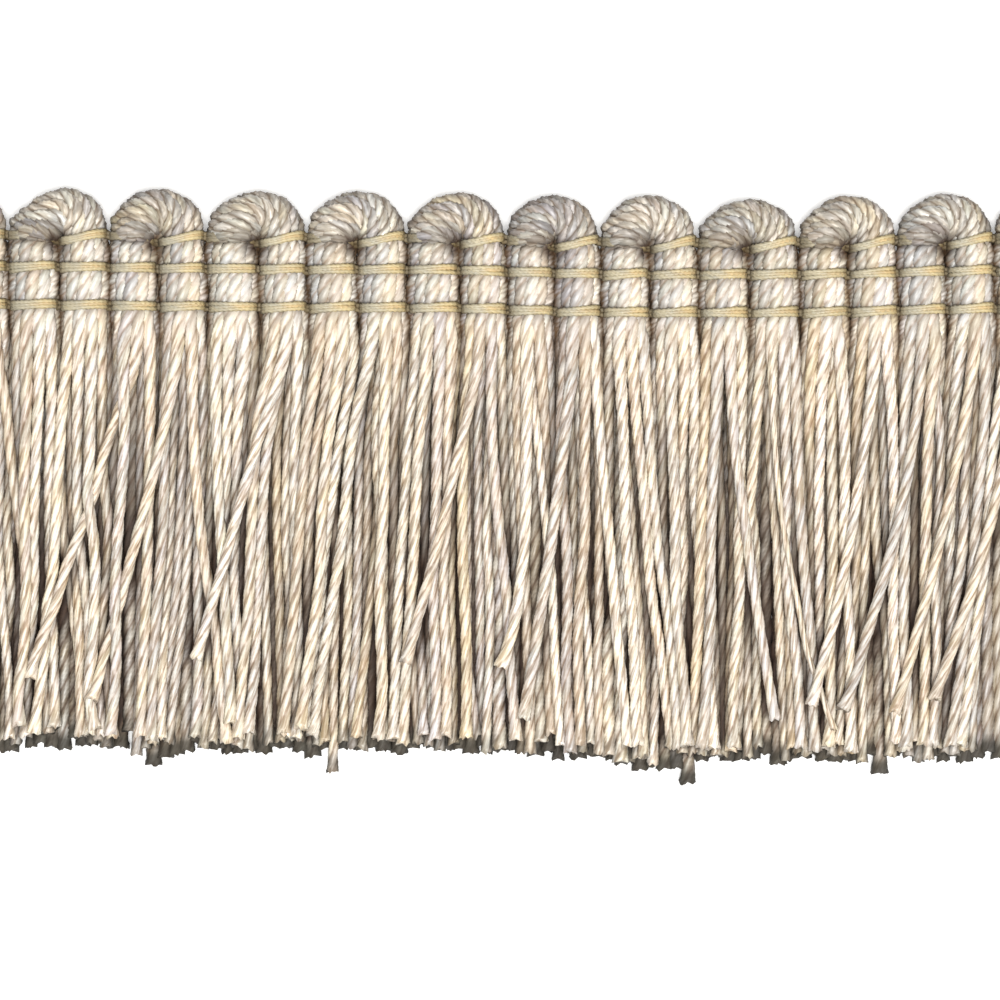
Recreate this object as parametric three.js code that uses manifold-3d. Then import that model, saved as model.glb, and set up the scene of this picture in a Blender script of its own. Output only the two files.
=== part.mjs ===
// A cut length of brush fringe trim, lying on its back on a flat surface.
// Each loop is one bundle of twisted yarns: it rises as a leg, turns over in a crown and comes
// down as a second leg. Three rows of binding thread hold the legs side by side. Below the
// lowest row the yarns are cut to one length and hang free as the brush.
// Millimetres. X runs along the trim, +Y points from the brush to the crowns, +Z is up.
import * as THREE from "three";
import { mergeVertices } from "three/addons/utils/BufferGeometryUtils.js";
import Module from "manifold-3d";

// Driving dimensions
const THICKNESS = 4.0; // of the heading, from back to front
const LEG_GAP = 0.4; // daylight between two neighbouring legs
const ROWS = [
  { name: "binding_bottom", height: 0 },
  { name: "binding_middle", height: 3.45 },
  { name: "binding_top", height: 6.0 },
];
const BRUSH_LENGTH = 40.5; // from the bottom row to the cut ends

// One line for each loop, from left to right. width is the loop's share of the trim, crest the
// crown's height over the top row, crestShift how far the crown leans to the right, drop how
// far the heading sags there, and lean how far the cut ends drift to the right.
const LOOPS = [
  { width: 8.9, crest: 4.5, crestShift: 0.6, drop: 0.0, lean: -1.2 },
  { width: 9.18, crest: 4.6, crestShift: 1.2, drop: 0.0, lean: -1.6 },
  { width: 8.82, crest: 4.6, crestShift: 0.3, drop: 0.15, lean: -1.1 },
  { width: 8.73, crest: 4.4, crestShift: 0.8, drop: 0.23, lean: -1.8 },
  { width: 9.09, crest: 4.45, crestShift: 0.8, drop: 0.27, lean: -1.3 },
  { width: 9.45, crest: 4.35, crestShift: 0.7, drop: 0.29, lean: 0.4 },
  { width: 8.55, crest: 4.4, crestShift: 0.3, drop: 0.6, lean: 2.0 },
  { width: 8.82, crest: 4.55, crestShift: 0.3, drop: 0.73, lean: 2.7 },
  { width: 9.18, crest: 4.2, crestShift: 0.4, drop: 0.73, lean: 1.8 },
  { width: 8.91, crest: 4.45, crestShift: 0.2, drop: 0.68, lean: 0.9 },
  { width: 8.82, crest: 4.35, crestShift: 0.2, drop: 0.41, lean: 0.1 },
  { width: 9.0, crest: 4.5, crestShift: 0.5, drop: 0.3, lean: -0.8 },
];

// The heading's bundle
const SIDES = 8;
const CORNER = 2.6; // exponent of the section: 2 is an ellipse, more is squarer
const NECK_PINCH = 0.5; // how far a binding row draws the front and sides in
const BACK_PINCH = 0.8; // and the back, where the thread stays clear of the surface
const NECK_HALF = 0.45; // half the height of the stretch that a row draws in
const SHOULDER = 0.45; // height over which the bundle swells again
const LEG_END = 1.4; // how far the legs reach below the bottom row
const ROOT_DOWN = 0.75; // the strands start this far below the row, inside the leg
const CROWN_SPRING = 0.7; // the crown starts this far over the top row
const CROWN_STEPS = 5;
const CROWN_INSIDE = 0.5; // the bundle is flatter on the inside of its bend
const CROWN_TWIST = -0.5; // corners of the section that the twist turns in each step
const RIB = 0.1; // depth of the twist's ribs, as a share of the bundle
const CROWN_LIFT = 0.12; // the crown stays this far off the surface

// The binding thread
const THREAD = 0.4; // thickness over the front and back of a leg
const THREAD_HEIGHT = 0.7; // the row's height: two threads side by side
const CLEAR = 0.33; // daylight between the thread and the bundle
const THREAD_CREST = 0.55; // the share of a neck's width that the thread crosses flat
const THREAD_DIP = 0.64; // and how deep it dips between two legs

// The brush. A strand of the front layer leaves its leg high, lies down within SETTLE and curves
// again at BEND; the layers behind it run straight.
const STRAND_HEIGHT = 0.74;
const LAYER_STEP = 1.04; // from one layer of strands up to the next
const ROOT_GATHER = 0.84; // strands are this much closer together at their roots
const FRONT_ROOT = 3.1; // height at which the front layer leaves the legs
const SETTLE = 7;
const BEND = 23;
const UNEVEN_CUT = 0.7;
const DRIFT_CURVE = 1.5; // exponent of the lean: 1 is straight, more bends towards the end

// One line for each layer, from the back one to the front one. drift is the share of the loop's
// lean that the layer takes.
const LAYERS = [
  { strands: 3, width: 0.8, drift: -0.35 },
  { strands: 3, width: 0.8, drift: 0.3 },
  { strands: 4, width: 0.7, drift: 1 },
];
const FRONT = LAYERS.length - 1;

// Loose strands that cross over the front layer. tuft counts legs from the left, across and
// down place the cut end from the strand's root.
const STRAYS = [
  { tuft: 5, across: -11.4, down: 34.5 },
  { tuft: 6, across: -9.6, down: 36.5 },
  { tuft: 8, across: -8.8, down: 32.5 },
  { tuft: 12, across: -7.6, down: 33.0 },
  { tuft: 13, across: -4.2, down: 33.4 },
  { tuft: 14, across: -5.2, down: 38.0 },
  { tuft: 17, across: 5.0, down: 37.5 },
  { tuft: 20, across: -6.6, down: 36.0 },
  { tuft: 21, across: -8.6, down: 36.5 },
  { tuft: 22, across: -8.3, down: 36.8 },
  { tuft: 23, across: -9.0, down: 35.5 },
];

const STRAY_SETTLE = 0.2; // the share of its length in which a stray lies down

const TUFTS_PER_LOOP = 2;
const MIDDLE = THICKNESS / 2;
const TOP_ROW = ROWS[ROWS.length - 1].height;

const wasm = await Module();
wasm.setup();

// A repeatable number from -1 to 1 for each whole number.
function uneven(n) {
  const wave = Math.sin(n * 12.9898 + 4.1) * 43758.5453;
  return 2 * (wave - Math.floor(wave)) - 1;
}

// Loops side by side, centred on X = 0. bounds are the left edge, middle and right edge of each.
function placeLoops() {
  const whole = LOOPS.reduce((sum, loop) => sum + loop.width, 0);
  let edge = -whole / 2;
  return LOOPS.map((loop) => {
    const bounds = [edge, edge + loop.width / 2, edge + loop.width];
    edge = bounds[2];
    return {
      ...loop,
      bounds,
      middle: bounds[1],
      legs: [(bounds[0] + bounds[1]) / 2, (bounds[1] + bounds[2]) / 2],
      legHalf: (loop.width / 2 - LEG_GAP) / 2,
    };
  });
}

const loops = placeLoops();

// A column of the table at any X, running straight from one loop's middle to the next.
function along(column, x) {
  const last = loops.length - 1;
  if (x <= loops[0].middle) return loops[0][column];
  if (x >= loops[last].middle) return loops[last][column];
  const next = loops.findIndex((loop) => loop.middle > x);
  const [from, to] = [loops[next - 1], loops[next]];
  const share = (x - from.middle) / (to.middle - from.middle);
  return THREE.MathUtils.lerp(from[column], to[column], share);
}

// How far the squared ellipse of unit size reaches at an angle.
function squaredReach(angle) {
  const [c, s] = [Math.abs(Math.cos(angle)), Math.abs(Math.sin(angle))];
  return (c ** CORNER + s ** CORNER) ** (-1 / CORNER);
}

// One corner of the bundle's section, which touches its half sizes with flat faces. turns is
// how many corners the bundle's twist has moved it round. Where the section is ribbed, every
// other corner lies lower.
function sectionCorner(index, half, turns = 0, rib = 0) {
  const angle = (2 * Math.PI * (index + 0.5 + turns)) / SIDES;
  const flat = squaredReach(Math.PI / SIDES) * Math.cos(Math.PI / SIDES);
  const reach = ((1 - rib * (index % 2)) * squaredReach(angle)) / flat;
  const [c, s] = [Math.cos(angle) * reach, Math.sin(angle) * reach];
  return {
    across: c * (c < 0 ? half.inside : half.outside),
    depth: s * (s < 0 ? half.back : half.front),
  };
}

// Half sizes of the bundle where a binding row draws it in, and where it swells between rows.
function neckHalf(legHalf) {
  const side = legHalf - NECK_PINCH;
  return { inside: side, outside: side, front: MIDDLE - NECK_PINCH, back: MIDDLE - BACK_PINCH };
}

function barrelHalf(legHalf) {
  return { inside: legHalf, outside: legHalf, front: MIDDLE, back: MIDDLE };
}

// The bundle's stations up one leg: its height over the bottom row and its half sizes.
function legStations(legHalf) {
  const [neck, barrel] = [neckHalf(legHalf), barrelHalf(legHalf)];
  const [bottom, middle, top] = ROWS.map((row) => row.height);
  const swell = NECK_HALF + SHOULDER;
  return [
    { height: bottom - LEG_END, half: barrel },
    { height: bottom - NECK_HALF, half: neck },
    { height: bottom + NECK_HALF, half: neck },
    { height: bottom + swell, half: barrel },
    { height: middle - swell, half: barrel },
    { height: middle - NECK_HALF, half: neck },
    { height: middle + NECK_HALF, half: neck },
    { height: (middle + top) / 2, half: barrel },
    { height: top - NECK_HALF, half: neck },
    { height: top + NECK_HALF, half: neck },
  ];
}

// The whole path of a loop's bundle: up the left leg, over the crown, down the right leg.
// Each station has its place, the direction across the bundle that points out of the loop, the
// half sizes there, and how far the twist has turned the section.
function bundleStations(loop) {
  const leg = legStations(loop.legHalf);
  const upright = (x, side) => (station) => ({
    at: new THREE.Vector2(x, station.height),
    out: new THREE.Vector2(side, 0),
    half: station.half,
    turns: side < 0 ? 0 : CROWN_TWIST * (CROWN_STEPS + 1),
  });
  const full = barrelHalf(loop.legHalf);
  const depth = MIDDLE - CROWN_LIFT;
  const half = { inside: full.inside - CROWN_INSIDE, outside: full.outside, front: depth, back: depth };
  const spring = TOP_ROW + CROWN_SPRING;
  const rise = loop.crest - CROWN_SPRING - half.outside;
  const crown = Array.from({ length: CROWN_STEPS }, (_, i) => {
    const turn = (Math.PI * (i + 0.5)) / CROWN_STEPS;
    const shift = loop.crestShift * Math.sin(turn) ** 2;
    const [c, s] = [Math.cos(turn), Math.sin(turn)];
    return {
      at: new THREE.Vector2(loop.middle - (c * loop.width) / 4 + shift / 2, spring + rise * s),
      out: new THREE.Vector2(-c, s),
      half,
      turns: CROWN_TWIST * (i + 1),
      rib: RIB,
    };
  });
  return [
    ...leg.map(upright(loop.legs[0], -1)),
    ...crown,
    ...leg.map(upright(loop.legs[1], 1)).reverse(),
  ];
}

// Moves each point of a closed geometry to the place that a function gives it.
function reshape(geometry, place) {
  const points = geometry.getAttribute("position");
  const point = new THREE.Vector3();
  for (let i = 0; i < points.count; i += 1) {
    const moved = place(point.fromBufferAttribute(points, i));
    points.setXYZ(i, moved.x, moved.y, moved.z);
  }
  return geometry;
}

// The bundle: a unit cylinder whose rings are laid on the stations of its path.
function bundleGeometry(loop) {
  const stations = bundleStations(loop);
  const steps = stations.length - 1;
  return reshape(new THREE.CylinderGeometry(1, 1, 1, SIDES, steps), (p) => {
    const { at, out, half, turns, rib } = stations[Math.round((0.5 - p.y) * steps)];
    const rim = Math.hypot(p.x, p.z) > 0.5;
    const index = Math.round((Math.atan2(p.z, p.x) / (2 * Math.PI)) * SIDES) + SIDES;
    const corner = rim ? sectionCorner(index, half, turns, rib) : { across: 0, depth: 0 };
    return new THREE.Vector3(
      at.x + out.x * corner.across,
      at.y + out.y * corner.across,
      MIDDLE + corner.depth,
    );
  });
}

// One strand: a bar whose rings are laid on the points of its path.
function strandGeometry({ path, width }) {
  const steps = path.length - 1;
  const bar = new THREE.BoxGeometry(width, 1, STRAND_HEIGHT, 1, steps, 1);
  return reshape(bar, (p) => {
    const at = path[Math.round((0.5 - p.y) * steps)];
    return new THREE.Vector3(at.x + p.x, at.y, at.z + p.z);
  });
}

// The strands of one tuft in one layer. number is the tuft's place along the trim.
function layerStrands(legX, number, level) {
  const { strands, width, drift } = LAYERS[level];
  const spacing = loops[Math.floor(number / TUFTS_PER_LOOP)].width / TUFTS_PER_LOOP / strands;
  const z = STRAND_HEIGHT / 2 + level * LAYER_STEP;
  const front = level === FRONT;
  return Array.from({ length: strands }, (_, i) => {
    const place = (i - (strands - 1) / 2) * spacing;
    const x = legX + place;
    const end = BRUSH_LENGTH + UNEVEN_CUT * uneven(number * 100 + level * 10 + i);
    const drifted = (down) => x + drift * along("lean", x) * (down / BRUSH_LENGTH) ** DRIFT_CURVE;
    const lying = (down) => new THREE.Vector3(drifted(down), -down, z);
    const root = new THREE.Vector3(legX + place * ROOT_GATHER, -ROOT_DOWN, front ? FRONT_ROOT : z);
    return { path: [root, ...(front ? [lying(SETTLE), lying(BEND)] : []), lying(end)], width };
  });
}

// A stray leaves its leg at the front and lies across the front layer.
function strayStrand(stray, legX) {
  const z = STRAND_HEIGHT / 2 + LAYERS.length * LAYER_STEP;
  const over = (share) => new THREE.Vector3(legX + stray.across * share, -stray.down * share, z);
  const root = new THREE.Vector3(legX, -ROOT_DOWN, FRONT_ROOT);
  return { path: [root, over(STRAY_SETTLE), over(1)], width: LAYERS[FRONT].width };
}

// A closed geometry as a solid that can be joined to others, and back again.
function solidOf(geometry) {
  const bare = geometry.clone();
  bare.deleteAttribute("normal");
  bare.deleteAttribute("uv");
  const merged = mergeVertices(bare, 1e-4);
  return new wasm.Manifold(
    new wasm.Mesh({
      numProp: 3,
      vertProperties: merged.getAttribute("position").array,
      triVerts: new Uint32Array(merged.index.array),
    }),
  );
}

function geometryOf(solid) {
  const { vertProperties, triVerts } = solid.getMesh();
  const geometry = new THREE.BufferGeometry();
  geometry.setAttribute("position", new THREE.BufferAttribute(vertProperties, 3));
  geometry.setIndex(new THREE.BufferAttribute(triVerts, 1));
  return geometry;
}

// The heading sags a little along its length, and the brush hangs from it.
function sag(geometry) {
  return reshape(geometry, (p) => p.setY(p.y - along("drop", p.x)));
}

function joined(geometries) {
  return geometryOf(geometries.map(solidOf).reduce((whole, solid) => whole.add(solid)));
}

// A loop with its two tufts: the strands' roots are fused into the ends of the legs.
function loopGeometry(loop, index) {
  const strands = loop.legs.flatMap((legX, side) => {
    const number = index * TUFTS_PER_LOOP + side;
    const strays = STRAYS.filter((stray) => stray.tuft === number + 1);
    return [
      ...LAYERS.flatMap((_, level) => layerStrands(legX, number, level)),
      ...strays.map((stray) => strayStrand(stray, legX)),
    ];
  });
  return sag(joined([bundleGeometry(loop), ...strands.map(strandGeometry)]));
}

// The binding thread around one neck: it swells over the front of the leg, and meets the
// thread around the next leg halfway between the two.
function threadAround(loop, side, height) {
  const legX = loop.legs[side];
  const [left, right] = loop.bounds.slice(side, side + 2);
  const neck = neckHalf(loop.legHalf);
  const hole = Object.fromEntries(
    Object.entries(neck).map(([name, size]) => [name, size + CLEAR]),
  );
  const crest = neck.outside * THREAD_CREST;
  const front = MIDDLE + hole.front + THREAD;
  const back = MIDDLE - hole.back - THREAD;
  const outline = [
    [left, front - THREAD_DIP],
    [legX - crest, front],
    [legX + crest, front],
    [right, front - THREAD_DIP],
    [right, back],
    [left, back],
  ];
  const corners = Array.from({ length: SIDES }, (_, i) => sectionCorner(i, hole));
  const shape = new THREE.Shape(outline.map(([x, z]) => new THREE.Vector2(x, z)));
  shape.holes = [
    new THREE.Path(corners.map((c) => new THREE.Vector2(legX + c.across, MIDDLE + c.depth))),
  ];
  const options = { depth: THREAD_HEIGHT, bevelEnabled: false, curveSegments: 1 };
  const ring = new THREE.ExtrudeGeometry(shape, options);
  ring.rotateX(Math.PI / 2);
  ring.translate(0, height + THREAD_HEIGHT / 2, 0);
  return sag(ring);
}

// A whole row of binding thread.
function bindingGeometry(height) {
  return joined(
    loops.flatMap((loop) => loop.legs.map((_, side) => threadAround(loop, side, height))),
  );
}

const YARN = { color: 0xcdb99c, roughness: 0.5, metalness: 0 };
const BINDING = { color: 0xd2bd82, roughness: 0.6, metalness: 0 };

const trim = new THREE.Group();

function addPiece(name, geometry, finish) {
  const mesh = new THREE.Mesh(geometry, new THREE.MeshStandardMaterial(finish));
  mesh.name = name;
  trim.add(mesh);
}

loops.forEach((loop, index) => {
  const name = `loop_${String(index + 1).padStart(2, "0")}`;
  addPiece(name, loopGeometry(loop, index), YARN);
});
ROWS.forEach((row) => addPiece(row.name, bindingGeometry(row.height), BINDING));

// The part's origin is the middle of the surface it lies on.
const box = new THREE.Box3().setFromObject(trim);
const centre = box.getCenter(new THREE.Vector3());
trim.position.set(-centre.x, -centre.y, -box.min.z);

export default trim;
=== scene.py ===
import math

import bpy
import numpy as np
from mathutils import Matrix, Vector


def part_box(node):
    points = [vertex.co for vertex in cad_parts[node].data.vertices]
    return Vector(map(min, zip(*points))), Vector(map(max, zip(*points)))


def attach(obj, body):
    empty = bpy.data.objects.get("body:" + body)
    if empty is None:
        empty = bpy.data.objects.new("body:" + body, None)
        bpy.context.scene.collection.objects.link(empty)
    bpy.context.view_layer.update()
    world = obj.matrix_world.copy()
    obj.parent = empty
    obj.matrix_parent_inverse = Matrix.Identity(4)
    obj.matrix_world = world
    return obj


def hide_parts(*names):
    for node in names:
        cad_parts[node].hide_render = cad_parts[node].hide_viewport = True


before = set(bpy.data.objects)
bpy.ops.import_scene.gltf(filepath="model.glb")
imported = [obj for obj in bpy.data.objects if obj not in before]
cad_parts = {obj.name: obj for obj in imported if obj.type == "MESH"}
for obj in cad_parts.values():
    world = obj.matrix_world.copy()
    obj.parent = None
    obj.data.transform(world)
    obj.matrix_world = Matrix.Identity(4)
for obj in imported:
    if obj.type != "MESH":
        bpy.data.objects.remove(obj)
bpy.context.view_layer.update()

MM = 0.001
TAU = 2 * math.pi
UP = np.array([0.0, 0.0, 1.0])
FLOOR_CLEARANCE = 0.05

# The trim's sizes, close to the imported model's. Heights count from the bottom binding row. The
# legs end a little below it. Over the top row the crown springs, and under the crown, between
# a loop's two legs, lies the notch, with the left leg's lip beside it.
THICKNESS = 4.0
MIDDLE = THICKNESS / 2
ROW_HEIGHTS = {"binding_bottom": 0.0, "binding_middle": 3.45, "binding_top": 6.12}
TOP_ROW_WAVE = 0.3
BINDING_HEIGHT = 0.7
LEG_END = 1.4
SPRING = 6.75
NOTCH_Y = 5.6
LIP_Y = 5.75
BRUSH_LENGTH = 40.6

# The legs: the gap between two of them, how far all of them stand to the right of even spacing,
# how much further some do and between which places, and how far they lean to the left for each
# millimetre of height. All of it fades out down the brush. A pair says where a change starts and
# where it is full.
LEG_GAP = 0.38
LEG_SHIFT = 0.1
FAR_SHIFT = 0.4
FAR_FROM = (-25.5, -21.5)
FAR_UNTIL = (0.5, -4.0)
LEG_LEAN = 0.03
LEAN_HEIGHTS = (-2.0, 6.0)
UPRIGHT_Y = 2.0
SHIFT_FADE = (-14, -3)

# One line for each loop, from left to right: its width, the crown's crest over the bottom row,
# how far the crest leans to the right, how far the crown's left shoulder sinks, how far the
# heading sags there, how far the cut ends drift to the right and how much shorter they are.
LOOP_COLUMNS = ("width", "crest", "shift", "sink", "drop", "lean", "trim")
LOOPS = [
    (8.9, 10.6, 0.6, 0.2, 0.0, -1.2, 1.0),
    (9.18, 10.75, 0.8, 0.5, 0.0, -1.6, 1.0),
    (8.82, 10.75, 0.3, 0.0, 0.15, -1.1, 0.8),
    (8.73, 10.6, 0.3, 0.0, 0.23, -1.8, 0.9),
    (9.09, 10.65, 0.5, 0.0, 0.27, -1.3, 1.1),
    (9.45, 10.6, 0.4, 0.1, 0.29, 0.4, 0.9),
    (8.55, 10.6, 0.2, 0.0, 0.6, 2.0, 0.9),
    (8.82, 10.75, 0.2, 0.0, 0.73, 2.7, 0.0),
    (9.18, 10.4, 0.3, 0.1, 0.73, 1.8, 0.5),
    (8.91, 10.65, 0.2, 0.1, 0.68, 0.9, 0.6),
    (8.82, 10.55, 0.3, 0.0, 0.41, 0.1, 0.0),
    (9.0, 10.6, 0.4, 0.1, 0.3, -0.8, 0.0),
]

# The yarn: three plies twisted together. It is thickest in the heading, and in the brush it
# thins to one of three radii: in the front layer, in the pressed middle one and at the bottom.
# A section is given by one ply of it, from one side over its middle to the groove before the
# next ply: angle, reach and how much painted shade the groove gets.
HEADING_RADIUS = 0.7
OPEN_RADIUS = 0.53
PRESSED_RADIUS = 0.47
BOTTOM_RADIUS = 0.66
RADIUS_CHANGE = (1.0, -12.0)
LAY = 6.2
CROWN_LAY = 3.5
PLIES = 3
FINE_PLY = [(-42, 0.91, 0.2), (-16, 1.0, 0.0), (16, 1.0, 0.0), (42, 0.91, 0.2), (60, 0.77, 1.0)]
PLAIN_PLY = [(-28, 0.97, 0.05), (28, 0.97, 0.05), (60, 0.76, 0.9)]
HIDDEN_PLY = [(0, 0.95, 0.2), (60, 0.85, 0.4)]
RING_STEP = 0.43
HIDDEN_SKIP = 3
DETAIL_MARGIN = 4

# Its cut ends: the stretch over which one opens, how much it swells and how ragged it is cut
OPENING = 2.2
OPENING_SWELL = 0.3
RAGGED = 0.3

# The bundle: its yarns, how many of them make one layer of a tuft and how squarely they are
# packed. In the legs they lean, in radians a millimetre, lie wider at the back, and are drawn
# in at the front where a binding row grips them. The crown is narrower at its feet, and the
# front of its left foot bulges out and hangs over the top row.
OUTER_YARNS = 9
INNER_YARNS = 3
YARNS = OUTER_YARNS + INNER_YARNS
LAYER_YARNS = 4
SECTION_POWER = 2.5
LEG_TWIST = 0.11
BACK_SPREAD = 0.4
GRIP_HEIGHT = 0.6
GRIP_NARROWS = 0.26
GRIP_FLATTENS = 0.3
FOOT_NARROWING = 0.1
LOBE_RISE = 0.6
LOBE_HANG = 0.45
CLIMB_STEP = 0.15
CROWN_STEPS = 60
LINE_STEP = 0.4

# How the brush settles, slice by slice down its length: how far a yarn sinks in a slice, how
# fast it moves to its place, and how yarns that touch push each other apart
SLICE = 1.2
EXTRA_SLICES = 3
SETTLE_ROUNDS = 12
GRAVITY = 0.25
TOP_GRAVITY = 0.06
SINK_GRAVITY = 0.45
SINKING_SHARE = 0.42
STRAY_GRAVITY = 0.06
SPREAD_OVER = 7
PULL = 0.4
TOUCHING = 0.9
PUSH = 0.25
PUSH_ASIDE = 0.8
PUSH_UP = 1.4

# How the yarns of each layer drift aside, from the front layer to the bottom one: the clump's
# drift, how far its yarns draw together, each yarn's own drift and its share of the loop's lean
CLUMP_SIZES = {1: 0.15, 2: 0.3, 3: 0.35, 4: 0.2}
CLUMP_DRIFT = (2.0, 1.5, 0.3)
CLUMP_DRAW = (0.7, 0.8, 0.1)
OWN_DRIFT = (0.4, 0.4, 0.12)
LEAN_SHARE = (1.0, 0.4, 0.0)
WILD_SHARE = 0.15
WILD_DRIFT = 2.4

# How the brush is cut: how much longer than the brush a yarn on the surface is, how unevenly
# it is cut, how much shorter a yarn is for each millimetre that it lies higher, and how many
# yarns the blade missed and how far these hang out
CUT_ALLOWANCE = 0.9
UNEVEN_CUT = 0.4
CUT_SLOPE = 0.62
LONG_SHARE = 0.02
LONG_BY = (1.0, 2.4)

# Loose yarns that cross over the others: the leg they leave, counted from the left, how far
# across and down their cut end lies, how late they swing out and how thick they are
STRAY_COLUMNS = ("tuft", "across", "down", "late", "radius")
STRAYS = [
    (5, -11.4, 34.5, 1.1, 0.5),
    (6, -9.6, 36.5, 1.3, 0.52),
    (8, -8.8, 32.5, 1.1, 0.5),
    (12, -7.6, 33.0, 1.3, 0.5),
    (13, -4.2, 33.4, 5.0, 0.55),
    (14, -5.2, 38.0, 1.3, 0.55),
    (17, 5.0, 37.5, 1.4, 0.5),
    (18, 7.4, 38.3, 2.2, 0.28),
    (20, -6.6, 36.0, 1.5, 0.5),
    (21, -8.6, 36.5, 1.7, 0.52),
    (22, -8.3, 36.8, 1.4, 0.5),
    (23, -9.0, 35.5, 1.6, 0.52),
]

# Colours of the dyed yarns, as sRGB, and how often each comes up
YARN_COLOURS = [
    (4, (235, 226, 211)),
    (3, (225, 214, 198)),
    (3, (220, 214, 208)),
    (2, (227, 213, 190)),
    (1, (207, 200, 196)),
    (3, (243, 237, 227)),
]
# Painted shade: colours that the yarns and threads are darkened towards in the grooves between
# plies, deep among the yarns, in the gaps between legs and at the lower yarns' cut ends
PAINTED_GROOVE_SHADE = (142, 107, 74)
PAINTED_DEPTH_SHADE = (58, 38, 24)
PAINTED_GAP_SHADE = (86, 61, 32)
PAINTED_END_SHADE = (44, 40, 30)
# Own colours of the yarns' cut faces and of the binding threads
CUT_COLOUR = (150, 137, 120)
THREAD_PALE = (182, 175, 153)
THREAD_OCHRE = (198, 182, 140)
THREAD_ORANGE = (199, 175, 130)
# Painted shade on the threads where they dip between legs, in the notch and beside a crown's foot
PAINTED_THREAD_SHADE = (84, 66, 34)

# The threads of a binding row: whether each crosses the front, and how far up the row it lies
# at the left and at the right of a leg. A thread's centre line runs a little inside the leg's
# sides and faces. Over a leg it turns from one angle to another in a number of points.
THREADS = [
    (True, (0.1, 0.34)),
    (True, (-0.12, 0.1)),
    (True, (-0.34, -0.14)),
    (False, (0.15, 0.15)),
    (False, (-0.2, -0.2)),
]
THREAD_RADIUS = 0.25
THREAD_LAY = 2.2
THREAD_STEP = 0.42
THREAD_INSET = (0.08, 0.24)
THREAD_POWER = 3
THREAD_ARC = (196, -16, 15)
THREAD_WOBBLE = 0.06
THREAD_STREAK = 0.4
ACCENT_THREAD = 1

# Factors on the yarns' colours: streaks along the fibres, slow changes of hue along a yarn,
# painted shade that greys the heading as if lit from the right, and painted shade in the crown's
# deeper grooves. The crown's strokes are darker by a share between two. The streaks are drawn out
# along the yarn, and this many millimetres deep.
DARK_STREAK = (0.55, 0.47, 0.385)
LIGHT_STREAK = (1.06, 1.06, 1.05)
COOL_CAST = (0.88, 0.9, 0.94)
WARM_CAST = (1.04, 1.02, 0.96)
PAINTED_HEADING_SHADE = (0.64, 0.675, 0.73)
PAINTED_CROWN_GROOVE_SHADE = (0.6, 0.7, 0.8)
STROKES = (-0.2, 0.38)
STREAK_STRETCH = (1.15, 1.15, 0.24)
GROOVE_DEPTH = 0.05

# The photo: how many millimetres its frame shows, its scale, its middle, the pixel row of the
# bottom binding row at the trim's left end, and how far the camera stands from the trim's middle
SHOWN_WIDTH = 90.9
PIXELS_PER_MM = 11
PHOTO_MIDDLE = 500
BOTTOM_ROW_PIXEL = 305
CAMERA_SHIFT = -0.09

rng = np.random.default_rng(7)


def linear(srgb):
    """An sRGB colour, 0 to 255, as linear light."""
    c = np.array(srgb, float) / 255
    return np.where(c <= 0.04045, c / 12.92, ((c + 0.055) / 1.055) ** 2.4)


def smooth(low, high, value):
    """A soft step from 0 at low to 1 at high."""
    t = np.clip((value - low) / (high - low), 0, 1)
    return t * t * (3 - 2 * t)


def blend(tints, colour, amount):
    """The tints moved towards a colour in linear light, by an amount from 0 to 1."""
    return tints * (1 - amount) + colour * amount


def lengths(points):
    """How far along straight lines through the points each of them lies."""
    spans = np.linalg.norm(np.diff(points, axis=0), axis=1)
    return np.concatenate([[0], np.cumsum(spans)])


def steps_along(total, step):
    """Lengths a step apart from 0 to the total, at least three of them."""
    return np.linspace(0, total, max(3, int(round(total / step)) + 1))


def place_loops():
    """The loops side by side, centred on X = 0, with their edges and legs."""
    edge = -sum(row[0] for row in LOOPS) / 2
    placed = []
    for row in LOOPS:
        loop = dict(zip(LOOP_COLUMNS, row))
        loop["left"] = edge
        loop["middle"] = edge + loop["width"] / 2
        loop["legs"] = [edge + loop["width"] * share + LEG_SHIFT for share in (0.25, 0.75)]
        loop["half"] = (loop["width"] / 2 - LEG_GAP) / 2
        edge += loop["width"]
        placed.append(loop)
    return placed


loops = place_loops()
MIDDLES = [loop["middle"] for loop in loops]


def along(column, x):
    """A column of the table at any X."""
    return np.interp(x, MIDDLES, [loop[column] for loop in loops])


def heading_shift(x, y):
    """How far the heading's legs stand to the right of even spacing: some of them lie a little
    further over, and all lean a little to the left on their way up."""
    far = FAR_SHIFT * smooth(*FAR_FROM, x) * smooth(*FAR_UNTIL, x)
    leaning = LEG_LEAN * (UPRIGHT_Y - np.clip(y, *LEAN_HEIGHTS))
    return (far + leaning) * smooth(*SHIFT_FADE, y)


def row_height(name, x):
    """Height of a binding row at X, before the heading's sag. The top row dips between the two
    legs of a loop and rises between loops."""
    x = np.asarray(x, float)
    height = np.full(x.shape, ROW_HEIGHTS[name])
    if name == "binding_top":
        for loop in loops:
            inside = (x >= loop["left"]) & (x < loop["left"] + loop["width"])
            wave = TOP_ROW_WAVE * np.cos(TAU * (x - loop["left"]) / loop["width"])
            height = height + np.where(inside, wave, 0)
    return height


def packed_origin():
    """Where the trim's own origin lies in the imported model, in millimetres."""
    low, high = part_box("binding_bottom")
    return np.array([(low.x + high.x) / 2 / MM, high.y / MM - BINDING_HEIGHT / 2, 0.0])


ORIGIN = packed_origin()


def whole_section(ply):
    """The angles, reaches and groove shades all round a yarn's section."""
    angles, reaches, grooves = np.array(ply, float).T
    angles = np.concatenate([angles + 360 / PLIES * n for n in range(PLIES)])
    return np.radians(angles), np.tile(reaches, PLIES), np.tile(grooves, PLIES)


SECTIONS = [whole_section(ply) for ply in (HIDDEN_PLY, PLAIN_PLY, FINE_PLY)]


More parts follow.
